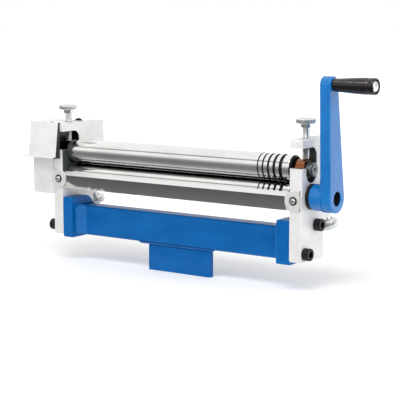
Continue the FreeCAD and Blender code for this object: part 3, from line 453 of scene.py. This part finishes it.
def roller(node, body, barrel):
    """Turned profile with eased edges and a centre hole in its right end. Each groove dips by
    sqrt(w^2/4 - d^2) at a distance d from its middle, w being its width. The grooves take the dark
    finish, and the ends beyond the barrel the turned one."""
    low, high = extent(node)
    barrel_low, barrel_high = barrel
    centre = (low + high) / 2
    profile = [(low[0], journal_radius - journal_chamfer), (low[0] + journal_chamfer, journal_radius),
               (barrel_low, journal_radius), (barrel_low, roller_radius), (barrel_high, roller_radius),
               (barrel_high, journal_radius), (high[0] - journal_chamfer, journal_radius),
               (high[0], journal_radius - journal_chamfer), (high[0], centre_drill_radius)]
    smooth = eased(profile, 0.7)
    cut = [np.empty((0, 2))]
    for middle, width in grooves:
        d = np.linspace(-1, 1, 13) * width / 2
        dip = np.sqrt(np.maximum(width ** 2 / 4 - d ** 2, 0))
        cut.append(np.column_stack([middle + d, roller_radius - dip]))
    cut = np.vstack(cut)
    ahead = np.searchsorted(smooth[:, 0], grooves[0][0] - 1)
    centre_hole = [(high[0] - centre_drill_depth, 0.0)]
    stations, radii = closed_profile(np.vstack([smooth[:ahead], cut, smooth[ahead:], centre_hole]))
    begin, end = stations[:-1], stations[1:]
    sunk = np.minimum(radii[:-1], radii[1:]) < roller_radius - 0.02
    grooved = (begin > grooves[0][0] - grooves[0][1]) & (end < grooves[-1][0] + grooves[-1][1])
    beyond = (begin < barrel_low) | (end > barrel_high)
    ground, groove, lathe = range(3)
    row_finish = np.where(beyond, lathe, np.where(sunk & grooved, groove, ground))
    points = turned(stations, radii, (0, centre[1], centre[2]), RIGHT, 128)
    skinned(node + "_ground", points, body, "ground_steel", (node,),
            (finishes["ground_steel"], groove_finish, turned_finish), row_finish)


roller("upper_roller", "upper_roller", front_barrel)
roller("lower_roller", "crank", front_barrel)
roller("rear_roller", "rear_roller", rear_barrel)


# Thumb screws
stem_radius = 4.0
stem_chamfer = 0.9
thread_pitch = 1.25
thread_depth = 0.5
knob_radius = 10.75
knob_ridges = 44
knob_ridge_depth = 0.4
knob_collar_radius = 6.0
knob_collar_length = 3.6
knob_thickness = 5.6
# From the rear roller's axis, the screw's tip on its bush and the knob's outer face
rear_tip_at = 10.2
rear_knob_end_at = 47.6


def threaded_stem(node, tip, along, length):
    """Stem whose radius falls by the depth of a V thread, depth * |2 frac(s/p - t) - 1|, for station
    s, pitch p and t turns round it. It fades out over 1.5 mm at the tip and 2 mm under the knob."""
    columns = 40
    stations = np.linspace(0, length, int(length / thread_pitch * 10))
    t = np.linspace(0, 1, columns, endpoint=False)
    turn = stations[:, None] / thread_pitch - t[None, :]
    groove = np.abs(2 * (turn - np.floor(turn)) - 1)
    fade = np.clip(np.minimum(stations / 1.5, (length - stations) / 2.0), 0, 1)[:, None]
    radii = stem_radius - thread_depth * groove * fade - stem_chamfer * np.clip(1 - stations, 0, 1)[:, None]
    ends = np.zeros((1, columns))
    stations = np.concatenate([[0], stations, [length]])
    points = turned(stations, np.vstack([ends, radii, ends]), tip, along, columns)
    skinned(node + "_thread", points, node, "bright_screw", (node,), sharp_above=60)


def knurled_knob(node, base, along):
    """Knob that widens from a collar. Over the rim the radius is R - d (1 - |cos(n t / 2)|), with n
    ridges round it of depth d. Its outer face is dished."""
    end = knob_collar_length + knob_thickness
    collar = [(0, knob_collar_radius - 1.0), (0, knob_collar_radius),
              (knob_collar_length, knob_collar_radius), (knob_collar_length + 0.5, knob_radius - 0.9)]
    rim = [(knob_collar_length + 1.2, knob_radius), (end - 0.8, knob_radius)]
    dished_face = [(end, knob_radius - 1.1), (end, 7.6), (end - 0.7, 6.6), (end - 0.7, 0.3)]
    stations, radii = closed_profile(eased(collar + rim + dished_face, 0.35))
    t = np.linspace(0, 2 * math.pi, knob_ridges * 8, endpoint=False)
    on_rim = np.clip((radii - (knob_radius - 0.8)) / 0.6, 0, 1)[:, None]
    ridge = knob_ridge_depth * (1 - np.abs(np.cos(knob_ridges * t / 2)))
    points = turned(stations, radii[:, None] - on_rim * ridge[None, :], base, along, len(t))
    skinned(node + "_knob", points, node, "bright_screw", (node,), sharp_above=50)


slot_lean = math.radians(25)
rear_down = np.array([0, math.sin(slot_lean), -math.cos(slot_lean)])
rear_axis = (extent("rear_roller")[0] + extent("rear_roller")[1]) / 2
for side, word in sides:
    top, rear = "top_" + word + "_screw", "rear_" + word + "_screw"
    top_low, top_high = extent(top)
    rear_middle = np.array([side * plate_middle, rear_axis[1], rear_axis[2]])
    for node, tip, along, whole in (
            (top, np.array([side * plate_middle, front_axis_y, top_low[2]]), UP, top_high[2] - top_low[2]),
            (rear, rear_middle + rear_down * rear_tip_at, rear_down, rear_knob_end_at - rear_tip_at)):
        stem = whole - knob_collar_length - knob_thickness
        threaded_stem(node, tip, along, stem + 0.4)
        knurled_knob(node, tip + along * stem, along)


# Screws
bolt_head_radius = 6.5
bolt_head_height = 8.0
hexagon_across = 6.5
bolt_ridges = 36
bolt_ridge_depth = 0.22
bolt_places = ((-10.7, 25.3), (12.5, 53.3))
guard_screw_x = 157.5
guard_screw_z = 80.8
guard_screw_seat_y = -19.0
guard_head_radius = 4.5
guard_head_height = 2.8
guard_flange = 0.9
cross_half_width = 0.75


def socket_head(name, seat, outwards):
    """Cap screw head: its side is knurled by d (1 - |cos(n t / 2)|), with n ridges of depth d, and
    the hexagon recess has radius a / cos(t mod 60 - 30 degrees), a being half the size across its
    flats."""
    radius, height, flat = bolt_head_radius, bolt_head_height, hexagon_across / 2
    t = np.linspace(0, 2 * math.pi, bolt_ridges * 6, endpoint=False)
    hexagon = flat / np.cos(np.mod(t, math.pi / 3) - math.pi / 6)
    outside = eased([(0, 0.05), (0, radius), (height, radius), (height, flat * 1.25)], 0.7)
    stations = np.concatenate([outside[:, 0], [height - 0.25, height * 0.45, height * 0.38]])
    radii = np.vstack([np.repeat(outside[:, 1:], len(t), axis=1), hexagon[None], hexagon[None],
                       np.full((1, len(t)), 0.02)])
    knurled = (stations > height * 0.08) & (stations < height * 0.93) & (radii[:, 0] > radius - 0.05)
    ridge = bolt_ridge_depth * (1 - np.abs(np.cos(bolt_ridges * t / 2)))
    radii = radii - knurled[:, None] * ridge[None]
    points = turned(stations, radii, seat, outwards, len(t))
    skinned(name, points, "frame", "black_steel", ("plate_bolts",), sharp_above=34)


def cross_head(name, centre):
    """Flanged pan head facing forwards: a flange painted dark as the shade round the head, then a dome
    h sqrt(1 - (r/R)^2) with a cross sunk where the distance to the nearer arm of the cross is small,
    fading at the arms' ends."""
    radius, height = guard_head_radius, guard_head_height
    t = np.linspace(0, 2 * math.pi, 96, endpoint=False)
    dome_radius = radius * 0.7
    r = np.linspace(1, 0, 26)[:, None] * dome_radius
    dome = guard_flange + (height - guard_flange) * np.sqrt(1 - (r / dome_radius) ** 2)
    across = np.minimum(np.abs(r * np.sin(t)), np.abs(r * np.cos(t)))
    arm = np.clip((cross_half_width - across) / 0.25, 0, 1) * np.clip((dome_radius * 0.8 - r) / 0.5, 0, 1)
    flange_radii = np.array([[0.0], [radius], [radius], [radius - 0.3], [dome_radius]])
    flange_rise = np.array([[0.0], [0.0], [guard_flange - 0.3], [guard_flange], [guard_flange]])
    r = np.vstack([flange_radii, r])
    rise = np.vstack([np.repeat(flange_rise, len(t), axis=1), dome - arm * height * 0.6])
    ring = np.cos(t)[:, None] * RIGHT + np.sin(t)[:, None] * UP
    points = np.array(centre, float) - rise[:, :, None] * BACK + r[:, :, None] * ring
    # The flange takes the black finish: painted shade round the head
    row_finish = (np.arange(len(points) - 1) < len(flange_radii)).astype(int)
    skinned(name, points, "frame", "bright_screw", ("guard_screws",),
            (finishes["bright_screw"], finishes["black_steel"]), row_finish, 50)


for side, word in sides:
    for k, (y, z) in enumerate(bolt_places):
        socket_head("plate_bolt_%s_%d" % (word, k), (side * plate_outer, y, z), RIGHT * side)
for side, word in sides:
    cross_head("guard_screw_" + word, (side * guard_screw_x, guard_screw_seat_y, guard_screw_z))


# Welds
def bead(name, node, start, end, wall, out, wall_leg, out_leg, swell, pitch, depth):
    """Weld in a corner. Across it, from the wall foot to the out foot, it is the straight line
    between them raised by swell sin(pi q); along it, ripples of this pitch lift the middle by
    depth |sin(pi (s / pitch + 0.6 (2q - 1)^2))|. Its section closes at the corner itself."""
    start, end = np.array(start, float), np.array(end, float)
    length = np.linalg.norm(end - start)
    along = (end - start) / length
    s = np.linspace(0, length, int(length / pitch * 8) + 1)
    q = np.linspace(0, 1, 15)
    foot_wall = np.array(wall, float) * wall_leg
    foot_out = np.array(out, float) * out_leg
    line = foot_wall + (foot_out - foot_wall) * q[:, None]
    raised = np.array(wall, float) * out_leg + np.array(out, float) * wall_leg
    raised /= np.linalg.norm(raised)
    ripple = np.abs(np.sin(math.pi * (s[:, None] / pitch + 0.6 * (2 * q - 1) ** 2)))
    fade = np.clip(np.minimum(s, length - s) / (pitch * 1.2), 0.15, 1)[:, None] ** 0.5
    lift = (swell + depth * ripple) * np.sin(math.pi * q)
    section = line[None] * fade[:, :, None] + (lift * fade)[:, :, None] * raised
    section = np.concatenate([section, np.zeros((len(s), 1, 3))], axis=1)
    points = start + s[:, None, None] * along + section
    first = np.repeat(points[:1].mean(axis=1, keepdims=True), points.shape[1], axis=1)
    last = np.repeat(points[-1:].mean(axis=1, keepdims=True), points.shape[1], axis=1)
    skinned(name, np.concatenate([first, points, last]), "frame", "blue_paint", (node,), lit_weld_paint,
            sharp_above=70)


beam_low, beam_high = extent("base_beam")
for x, wall, end in ((beam_low[0], RIGHT, "left"), (beam_high[0], -RIGHT, "right")):
    for y, out, face in ((beam_low[1], -BACK, "front"), (beam_high[1], BACK, "back")):
        y_root = y - out[1] * 0.4
        bead("flange_weld_%s_%s" % (end, face), "flange_welds", (x, y_root, beam_low[2] + 0.3),
             (x, y_root, beam_high[2] + 0.6), wall, out, wall_leg=13.4, out_leg=8.6, swell=-2.8,
             pitch=3.4, depth=0.2)
weld_low, weld_high = extent("tab_weld")
bead("tab_weld_bead", "tab_weld", (weld_low[0], 0.2, 15.2), (weld_high[0], 0.2, 15.2), -BACK, -UP,
     wall_leg=2.4, out_leg=2.2, swell=0.2, pitch=3.2, depth=0.25)


# Crank
hub_radius = 13.97
hub_blend_length = 6.0
hub_blend_step = 1.05
hub_fillet = 3.5
grip_hole_radius = 4.05
grip_full_radius = 8.5
grip_recess_radius = 6.7
grip_recess_depth = 2.6
shank_radius = 4.0
bolt_dome_radius = 6.0
bolt_dome_height = 3.0


def hub_blend():
    """Ring that runs the hub out to the arm's rim: the radius grows by w q^2 (3 - 2q) as q goes from
    0 to 1, w being the step between them, and over its upper half by a fillet that is
    f cos(t)^2 (1 - sqrt(1 - q^2)) where t is the angle from straight up."""
    columns = 120
    q = np.linspace(0, 1, 14)
    t = np.linspace(0, 2 * math.pi, columns, endpoint=False)
    upwards = np.clip(np.cos(t), 0, 1)
    fillet = hub_fillet * upwards[None] ** 2 * (1 - np.sqrt(1 - q ** 2))[:, None]
    radii = hub_radius + hub_blend_step * (q ** 2 * (3 - 2 * q))[:, None] + fillet
    stations = extent("crank_arm")[0][0] - hub_blend_length + (hub_blend_length + 0.03) * q
    inside = np.full((1, columns), 12.0)
    stations = np.concatenate([stations[:1], stations, stations[-1:]])
    radii = np.vstack([inside, radii, inside])
    points = turned(stations, radii, (0, front_axis_y, crank_axis_z), RIGHT, columns)
    points = np.concatenate([points, points[:1]])
    skinned("crank_hub_blend", points, "crank", "blue_paint", finish=lit_crank_paint, sharp_above=60)


def grip():
    """Handle whose radius grows from the arm as a + b sin(pi s / 2L)^1.3 up to its fullest, has a small
    bead line, then rounds over a rim into the recess for the bolt's head. Two mould lines stand
    proud by 0.12 exp(-(angle from the line / 0.05)^2)."""
    low, high = extent("handle_grip")
    length = high[0] - low[0]
    centre = (low + high) / 2
    full_at = length - 8.0
    s = np.linspace(1.0, full_at - 0.6, 40)
    swell = np.column_stack([s, 6.5 + 2.0 * np.sin(math.pi / 2 * s / full_at) ** 1.3])
    start = eased([(0, grip_hole_radius), (0, 5.3), (0.4, 6.4), (1.0, 6.52)], 0.4)
    bead_line = [(full_at, 8.1), (full_at + 0.5, 8.1)]
    floor_at = length - grip_recess_depth
    rim = eased([(full_at + 1.1, grip_full_radius), (length, grip_full_radius), (length, grip_recess_radius),
                 (floor_at, grip_recess_radius), (floor_at, grip_hole_radius)], 2.2, 8)
    profile = np.vstack([start, swell, bead_line, rim, [(floor_at, grip_hole_radius)]])
    columns = 160
    t = np.linspace(0, 2 * math.pi, columns, endpoint=False)
    line_at = math.radians(62)
    away = np.abs(np.mod(t - line_at + math.pi / 2, math.pi) - math.pi / 2)
    proud = 0.12 * np.exp(-(away / 0.05) ** 2)
    outside = (profile[:, 0] > 1.2) & (profile[:, 0] < length - 2.0) & (profile[:, 1] > 6.8)
    radii = profile[:, 1:] + outside[:, None] * proud[None]
    points = turned(profile[:, 0], radii, (low[0], centre[1], centre[2]), RIGHT, columns)
    points = np.concatenate([points, points[:1]])
    skinned("handle_grip_moulding", points, "grip", "grip_plastic", ("handle_grip",), sharp_above=50)


def handle_bolt():
    """Shank through the grip with a polished head, domed as h sqrt(1 - (r/R)^2)."""
    low, high = extent("handle_bolt")
    centre = (low + high) / 2
    head = high[0] - low[0] - bolt_dome_height
    r = np.linspace(bolt_dome_radius - 0.1, 0, 16)
    rise = (bolt_dome_height - 0.4) * np.sqrt(1 - (r / (bolt_dome_radius - 0.05)) ** 2)
    dome = np.column_stack([head + 0.4 + rise, r])
    shank = [(0, shank_radius), (head, shank_radius), (head, bolt_dome_radius),
             (head + 0.5, bolt_dome_radius)]
    stations, radii = closed_profile(np.vstack([shank, dome]))
    points = turned(stations, radii, (low[0], centre[1], centre[2]), RIGHT, 72)
    skinned("handle_bolt_domed", points, "crank", "bright_screw", ("handle_bolt",), chrome_finish)


hub_blend()
grip()
handle_bolt()


# Pieces whose solid is kept, with its folds and edges eased
def eased_copy(node, body, slot, width, finish=None):
    """Copy of a CAD node's skin, its triangles merged, flat faces joined and edges rounded."""
    mesh = nodes[node].data.copy()
    mesh.name = node + "_eased"
    mesh.materials.clear()
    whole = bmesh.new()
    whole.from_mesh(mesh)
    bmesh.ops.remove_doubles(whole, verts=whole.verts, dist=0.002 * MM)
    bmesh.ops.dissolve_limit(whole, angle_limit=math.radians(1), verts=whole.verts, edges=whole.edges)
    whole.to_mesh(mesh)
    whole.free()
    piece = settle(node + "_eased", mesh, body, finish or finishes[slot], (node,), 30)
    round_over = piece.modifiers.new("eased_edges", "BEVEL")
    round_over.width = width * MM
    round_over.segments = 2
    round_over.limit_method = "ANGLE"
    round_over.angle_limit = math.radians(40)


for node, body, slot, width, finish in (
        ("gear_hood", "frame", "cover_sheet", 0.35, None),
        ("gear_box", "frame", "cover_sheet", 0.35, None),
        ("front_guard", "frame", "guard_sheet", 0.3, None),
        ("crank_arm", "crank", "blue_paint", 0.6, lit_crank_paint),
        ("left_end_plate", "frame", "zinc_plate", 0.35, None),
        ("right_end_plate", "frame", "zinc_plate", 0.35, None),
        ("left_flange", "frame", "blue_paint", 0.5, None),
        ("right_flange", "frame", "blue_paint", 0.5, None),
        ("vise_tab", "frame", "blue_paint", 0.5, None)):
    eased_copy(node, body, slot, width, finish)


ear_corner_radius = 10.2
ear_corner_z = 80.3


def guard_ear(side, word):
    """Square-cornered ear over the guard's rounded one: an outline in x and z with a quarter circle
    at its inner lower corner, as thick as the sheet, its front edge eased by 0.25 mm."""
    angle = np.linspace(math.pi, 1.5 * math.pi, 14)
    corner = np.column_stack([guard_screw_x + ear_corner_radius * np.cos(angle),
                              ear_corner_z + ear_corner_radius * np.sin(angle)])
    outline = np.vstack([corner, [(161.0, 70.0), (164.8, 69.9), (165.1, 70.3), (165.1, 80.0), (165.1, 91.5),
                                  (164.8, 91.9), (160.0, 91.6), (155.0, 90.6), (150.5, 89.0), (147.4, 86.5)]])
    middle = np.array([156.5, 80.5])
    rings = []
    for y, share in ((-17.5, 0.0), (-17.5, 1.0), (-18.8, 1.0), (-19.04, 0.975), (-19.04, 0.0)):
        flat = middle + (outline - middle) * share
        rings.append(np.column_stack([flat[:, 0] * side, np.full(len(flat), y), flat[:, 1]]))
    skinned("guard_ear_" + word, np.array(rings), "frame", "guard_sheet", sharp_above=30)


def rivet(name, centre, radius, height):
    """Small domed rivet head, h sqrt(1 - (r/R)^2), standing on top of the hood."""
    r = np.linspace(1, 0, 9) * radius
    stations, radii = closed_profile(np.column_stack([height * np.sqrt(1 - (r / radius) ** 2), r]))
    skinned(name, turned(stations, radii, centre, UP, 32), "frame", "black_steel")


rivet("hood_rivet", (-168.0, -17.2, 145.1), radius=1.5, height=0.9)
for side, word in sides:
    guard_ear(side, word)


# Room and light, in metres
def board(name, corners, finish):
    """Flat staged board with these corners."""
    mesh = bpy.data.meshes.new(name)
    mesh.from_pydata(corners, [], [(0, 1, 2, 3)])
    mesh.materials.append(finish)
    made = bpy.data.objects.new(name, mesh)
    bpy.context.scene.collection.objects.link(made)
    return made


def as_seen(tree):
    """1 for rays that show a background: from the camera, or off a glossy or through a clear face."""
    rays = add(tree, "ShaderNodeLightPath").outputs
    seen = rays["Is Camera Ray"]
    for kind in ("Is Glossy Ray", "Is Transmission Ray"):
        seen = add(tree, "ShaderNodeMath", {0: seen, 1: rays[kind]}, operation="MAXIMUM").outputs[0]
    return seen


# The floor glows more with its distance in millimetres, so it comes out white but keeps a shadow
floor_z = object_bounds()[0][2]
pale, tree, place = new_finish("pale_floor", {
    "Roughness": 1.0, "Specular IOR Level": 0.0, "Base Color": "f6f6f6", "Emission Color": (1, 1, 1, 1)})
distance = add(tree, "ShaderNodeVectorMath", {0: place}, operation="LENGTH").outputs["Value"]
glow = add(tree, "ShaderNodeMapRange", {0: distance, 1: 250.0, 2: 900.0, 3: 0.16, 4: 0.6}).outputs[0]
glow = add(tree, "ShaderNodeMath", {0: as_seen(tree), 1: glow}, operation="MULTIPLY").outputs[0]
tree.links.new(glow, tree.nodes["Principled BSDF"].inputs["Emission Strength"])
reach = 8.0
board("floor", [(-reach, -reach, floor_z), (reach, -reach, floor_z), (reach, reach, floor_z),
                (-reach, reach, floor_z)], pale)

world = bpy.data.worlds.new("studio")
bpy.context.scene.world = world
world.use_nodes = True
sky = world.node_tree
sky.nodes.clear()
strength = add(sky, "ShaderNodeMapRange", {0: as_seen(sky), 3: 0.7, 4: 1.0}).outputs[0]
background = add(sky, "ShaderNodeBackground", {"Color": (1, 1, 1, 1), "Strength": strength})
add(sky, "ShaderNodeOutputWorld", {"Surface": background.outputs[0]})


def softbox(name, place, target, width, height, power):
    """Rectangular lamp that faces its target."""
    lamp = bpy.data.lights.new(name, "AREA")
    lamp.shape = "RECTANGLE"
    lamp.size, lamp.size_y, lamp.energy = width, height, power
    made = bpy.data.objects.new(name, lamp)
    made.location = place
    made.rotation_euler = (Vector(target) - Vector(place)).to_track_quat("-Z", "Y").to_euler()
    bpy.context.scene.collection.objects.link(made)


softbox("key", (0.3, -1.1, 1.7), (0, 0, 0.05), width=1.3, height=0.9, power=18)
softbox("side", (1.7, 0.1, 0.7), (0.1, 0, 0.1), width=0.9, height=0.9, power=5)


def grey_card(name, corners, along, stops):
    """Card that only reflections see, standing for the dim side of the room in front. Each stop is a
    place in metres along one axis and the brightness there, where 1 is white."""
    material = bpy.data.materials.new(name)
    material.use_nodes = True
    tree = material.node_tree
    tree.nodes.clear()
    metres = add(tree, "ShaderNodeTexCoord").outputs["Object"]
    where = add(tree, "ShaderNodeSeparateXYZ", {0: metres}).outputs[along]
    level = stops[0][1]
    for (start, low), (end, high) in zip(stops[:-1], stops[1:]):
        step = add(tree, "ShaderNodeMapRange", {0: where, 1: start, 2: end, 4: high - low}).outputs[0]
        level = add(tree, "ShaderNodeMath", {0: step, 1: level}, operation="ADD").outputs[0]
    glow = add(tree, "ShaderNodeEmission", {"Color": (1, 1, 1, 1), "Strength": level})
    add(tree, "ShaderNodeOutputMaterial", {"Surface": glow.outputs[0]})
    card = board(name, corners, material)
    for kind in ("camera", "diffuse", "transmission", "shadow"):
        setattr(card, "visible_" + kind, False)


card_left, card_right = -3.2, 1.6
near_y, far_y = -0.06, -1.6
card_z = floor_z + 0.004
for name, (y_low, z_low), (y_high, z_high), along, stops in (
        ("floor_card", (far_y, card_z), (near_y, card_z), 1,
         ((-0.9, 0.26), (-0.3, 0.19), (-0.15, 0.22), (-0.06, 0.42))),
        ("wall_card", (far_y, card_z), (far_y, 0.75), 2, ((0.0, 0.26), (0.2, 0.4), (0.5, 0.8), (0.75, 0.98))),
        ("gap_card", (-1.2, 1.2), (-1.0, 1.4), 2, ((1.2, 0.25), (1.4, 0.25)))):
    grey_card(name, [(card_left, y_low, z_low), (card_right, y_low, z_low), (card_right, y_high, z_high),
                     (card_left, y_high, z_high)], along, stops)

# Camera, where the photograph was taken from
camera_data = bpy.data.cameras.new("camera")
camera_data.lens = 121.07
camera_data.sensor_width = 36.0
camera_data.clip_end = 50.0
camera = bpy.data.objects.new("camera", camera_data)
camera.location = (0.85709, -1.1905, 0.28254)
aim = Vector((0.0405, -0.0175, 0.07205))
camera.rotation_euler = (aim - camera.location).to_track_quat("-Z", "Y").to_euler()
bpy.context.scene.collection.objects.link(camera)
bpy.context.scene.camera = camera
bpy.context.scene.view_settings.view_transform = "Standard"
